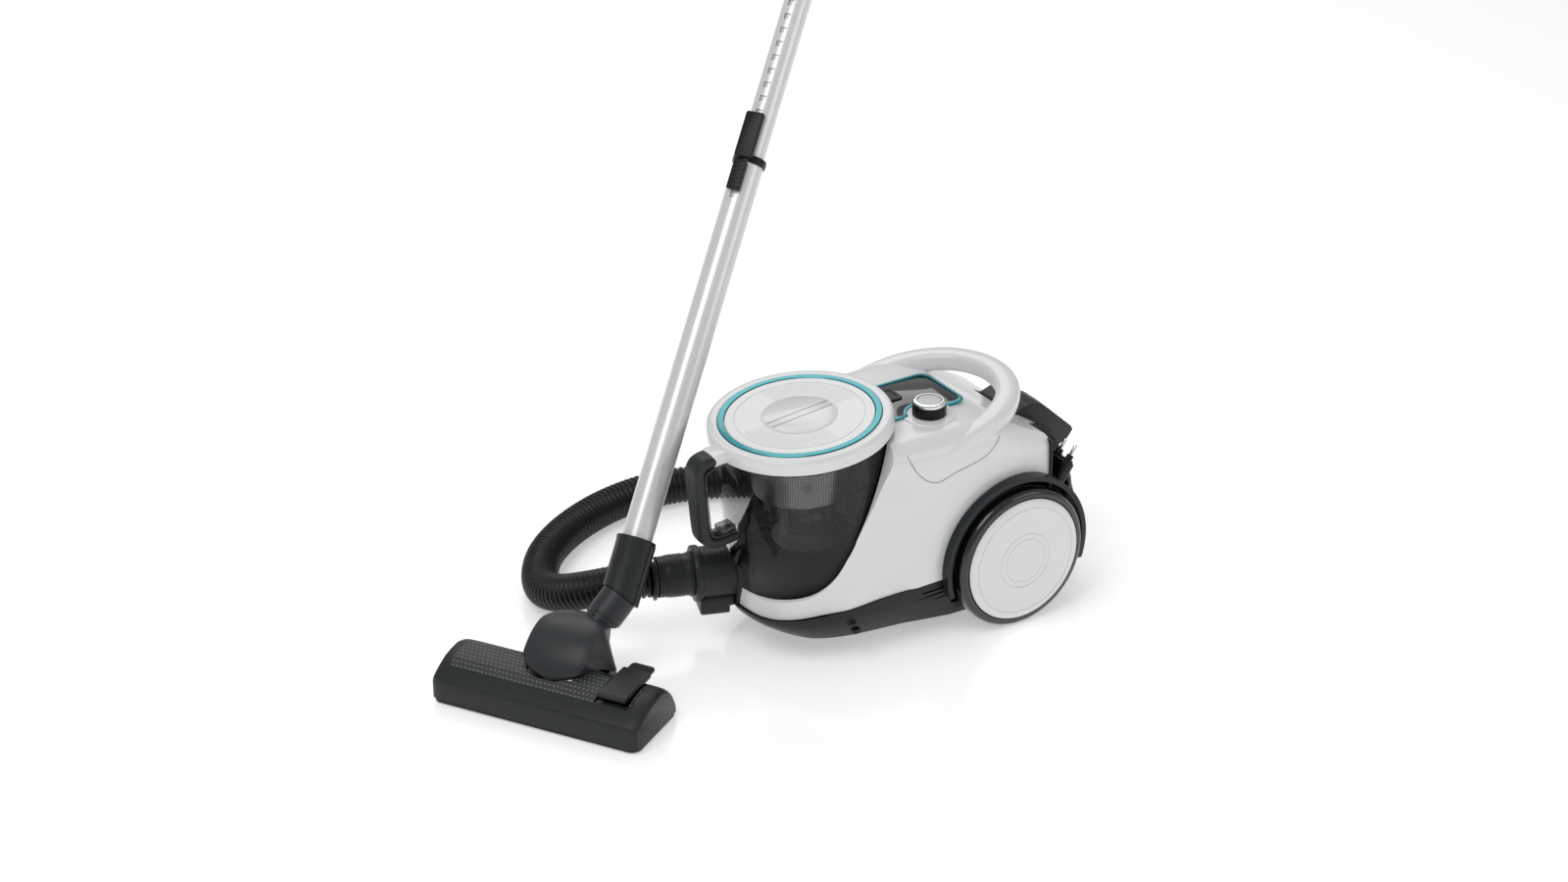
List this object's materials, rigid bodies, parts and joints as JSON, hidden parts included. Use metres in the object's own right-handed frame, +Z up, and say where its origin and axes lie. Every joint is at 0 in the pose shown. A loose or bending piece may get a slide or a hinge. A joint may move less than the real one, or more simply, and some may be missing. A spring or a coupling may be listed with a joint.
{
  "type": "canister vacuum cleaner",
  "caption": "Wheeled canister vacuum cleaner with a lift-out clear dust bin, carry loop, ribbed hose, telescopic wand and swivelling floor head.",
  "frame": {"origin": "centre of the whole standing set's box on the floor, without the hose and its grip", "axes": "+Z up, +X from the floor head to the rear of the canister, +Y to the canister's left seen from behind"},
  "size_m": [0.8825, 0.5753, 0.7389],
  "materials": {
    "anthracite": "fine satin grain, moulded anthracite plastic",
    "chassis_black": "matt moulded black plastic",
    "white_gloss": "white gloss ABS",
    "arch_grey": "satin blue-grey plastic",
    "teal": "metallic teal",
    "panel_black": "gloss black window",
    "knob_black": "satin black",
    "chrome": "bright plated",
    "button_silver": "silver painted plastic",
    "tyre_black": "gloss black soft tyre",
    "clear_smoke": "smoky clear polycarbonate",
    "clear_liner": "smoky clear plastic",
    "cyclone_grey": "satin grey plastic",
    "mesh_metal": "fine perforated steel",
    "seal_rubber": "soft black rubber",
    "hose_black": "ribbed satin black hose",
    "tube_white": "pearl white coated steel tube",
    "inner_grey": "natural grey moulding",
    "steel": "turned steel",
    "filter_white": "pleated filter paper",
    "bristle_black": "dense black bristle",
    "panel_grey": "dimpled satin grey",
    "cord_black": "black mains cord"
  },
  "bodies": {
    "canister": {"chassis": "chassis_black", "upper_housing": "white_gloss", "arch_trims": "arch_grey", "carry_handle": "white_gloss", "panel_frame": "teal", "panel_glass": "panel_black", "rear_cover": "anthracite", "plug_recess": "chassis_black", "motor_housing": "inner_grey", "exhaust_filter": "filter_white", "inlet_socket": "anthracite", "hose_cuff": "anthracite", "hose": "hose_black", "grip_cuff": "anthracite", "grip_tube": "anthracite", "wheel_axles": "steel", "park_rail": "anthracite", "housing_screws": "steel"},
    "wheel_left": {"tyre_left": "tyre_black", "disc_left": "white_gloss"},
    "wheel_right": {"tyre_right": "tyre_black", "disc_right": "white_gloss"},
    "caster": {"caster_fork": "chassis_black", "caster_axle": "steel"},
    "caster_roller": {"caster_wheel": "seal_rubber"},
    "knob": {"knob_skirt": "knob_black", "knob_cap": "chrome"},
    "power_button": {"power_button": "button_silver"},
    "release_button": {"release_button": "panel_black"},
    "rewind_pedal": {"rewind_pedal": "anthracite"},
    "mains_plug": {"plug_body": "knob_black", "plug_pins": "chrome"},
    "cord_reel": {"reel_drum": "inner_grey", "cord_pack": "cord_black"},
    "rotor": {"rotor_shaft": "steel", "impeller": "steel"},
    "bin": {"bin_shell": "clear_smoke", "bin_floor": "chassis_black", "bin_seal": "seal_rubber", "bin_collar": "white_gloss", "bin_handle": "anthracite", "handle_liner": "clear_liner"},
    "lid": {"lid_cover": "white_gloss", "lid_ring": "teal", "cyclone_cone": "cyclone_grey", "cyclone_mesh": "mesh_metal"},
    "suction_slider": {"suction_slider": "inner_grey"},
    "floor_head": {"head_body": "anthracite", "sole_plate": "chassis_black", "top_panel": "panel_grey"},
    "bristles": {"bristle_strips": "bristle_black"},
    "head_pedal": {"head_pedal": "anthracite"},
    "head_rollers": {"head_rollers": "seal_rubber"},
    "neck": {"neck_hood": "anthracite"},
    "wand": {"wand_sleeve": "anthracite", "lower_tube": "tube_white", "tube_collar": "knob_black"},
    "tube_latch": {"tube_latch": "knob_black"},
    "upper_wand": {"upper_tube": "tube_white", "tube_socket": "anthracite"}
  },
  "joints": [
    {"name": "wheel_left_spin", "type": "hinge", "parent": "canister", "child": "wheel_left", "pos_m": [0.2495, 0.0372, 0.085], "axis": [0, 1, 0], "continuous": true},
    {"name": "wheel_right_spin", "type": "hinge", "parent": "canister", "child": "wheel_right", "pos_m": [0.2495, -0.2128, 0.085], "axis": [0, 1, 0], "continuous": true},
    {"name": "caster_swivel", "type": "hinge", "parent": "canister", "child": "caster", "pos_m": [0.0175, -0.0878, 0.02], "axis": [0, 0, 1], "continuous": true},
    {"name": "caster_roll", "type": "hinge", "parent": "caster", "child": "caster_roller", "pos_m": [0.0215, -0.0878, 0.012], "axis": [0, 1, 0], "continuous": true},
    {"name": "knob_turn", "type": "hinge", "parent": "canister", "child": "knob", "pos_m": [0.1775, -0.1358, 0.25], "axis": [0, 0, 1], "range_deg": [-130, 130]},
    {"name": "power_press", "type": "slide", "parent": "knob", "child": "power_button", "axis": [0, 0, -1], "range_m": [0, 0.003], "stiffness_N_per_m": 800},
    {"name": "release_press", "type": "slide", "parent": "canister", "child": "release_button", "axis": [0, 0, -1], "range_m": [0, 0.003], "stiffness_N_per_m": 800},
    {"name": "rewind_press", "type": "slide", "parent": "canister", "child": "rewind_pedal", "axis": [-0.6691, 0, -0.7431], "range_m": [0, 0.003], "stiffness_N_per_m": 1500},
    {"name": "reel_turn", "type": "hinge", "parent": "canister", "child": "cord_reel", "pos_m": [0.2575, -0.0798, 0.165], "axis": [0, 0, 1], "range_deg": [0, 38]},
    {"name": "plug_pull", "type": "slide", "parent": "canister", "child": "mains_plug", "axis": [0.5736, 0, 0.8192], "range_m": [0, 0.03]},
    {"name": "rotor_spin", "type": "hinge", "parent": "canister", "child": "rotor", "pos_m": [0.2215, -0.0878, 0.06], "axis": [0, 0, 1], "continuous": true},
    {"name": "bin_lift", "type": "slide", "parent": "canister", "child": "bin", "axis": [-0.0929, 0, 0.9957], "range_m": [0, 0.21]},
    {"name": "lid_lift", "type": "slide", "parent": "bin", "child": "lid", "axis": [-0.0929, 0, 0.9957], "range_m": [0, 0.05]},
    {"name": "suction_slide", "type": "slide", "parent": "canister", "child": "suction_slider", "axis": [-0.9063, -0.4226, 0], "range_m": [0, 0.014]},
    {"name": "head_glide", "type": "slide", "parent": "canister", "child": "floor_head", "axis": [-0.848, -0.5299, 0], "range_m": [0, 0.1]},
    {"name": "neck_tilt", "type": "hinge", "parent": "floor_head", "child": "neck", "pos_m": [-0.25074, -0.0731, 0.022], "axis": [0.5299, -0.848, 0], "range_deg": [-4, 20]},
    {"name": "wand_swivel", "type": "hinge", "parent": "neck", "child": "wand", "pos_m": [-0.18958, -0.06908, 0.096], "axis": [0.7672, 0.1064, 0.6326], "range_deg": [-12, 4]},
    {"name": "latch_slide", "type": "slide", "parent": "wand", "child": "tube_latch", "axis": [-0.5451, -0.3406, -0.766], "range_m": [0, 0.005], "stiffness_N_per_m": 600},
    {"name": "tube_slide", "type": "slide", "parent": "wand", "child": "upper_wand", "axis": [0.5451, 0.3406, 0.766], "range_m": [-0.2, 0.1]},
    {"name": "pedal_rock", "type": "hinge", "parent": "floor_head", "child": "head_pedal", "pos_m": [-0.23654, -0.16564, 0.046], "axis": [-0.5299, 0.848, 0], "range_deg": [0, 6]},
    {"name": "bristle_drop", "type": "slide", "parent": "floor_head", "child": "bristles", "axis": [0, 0, -1], "range_m": [0, 0.002]},
    {"name": "roller_spin", "type": "hinge", "parent": "floor_head", "child": "head_rollers", "pos_m": [-0.26346, -0.08105, 0.008], "axis": [-0.5299, 0.848, 0], "continuous": true}
  ],
  "couplings": [
    {"joint": "plug_pull", "follows": "reel_turn", "m_per_rad": 0.045},
    {"joint": "bristle_drop", "follows": "pedal_rock", "m_per_rad": 0.019}
  ]
}
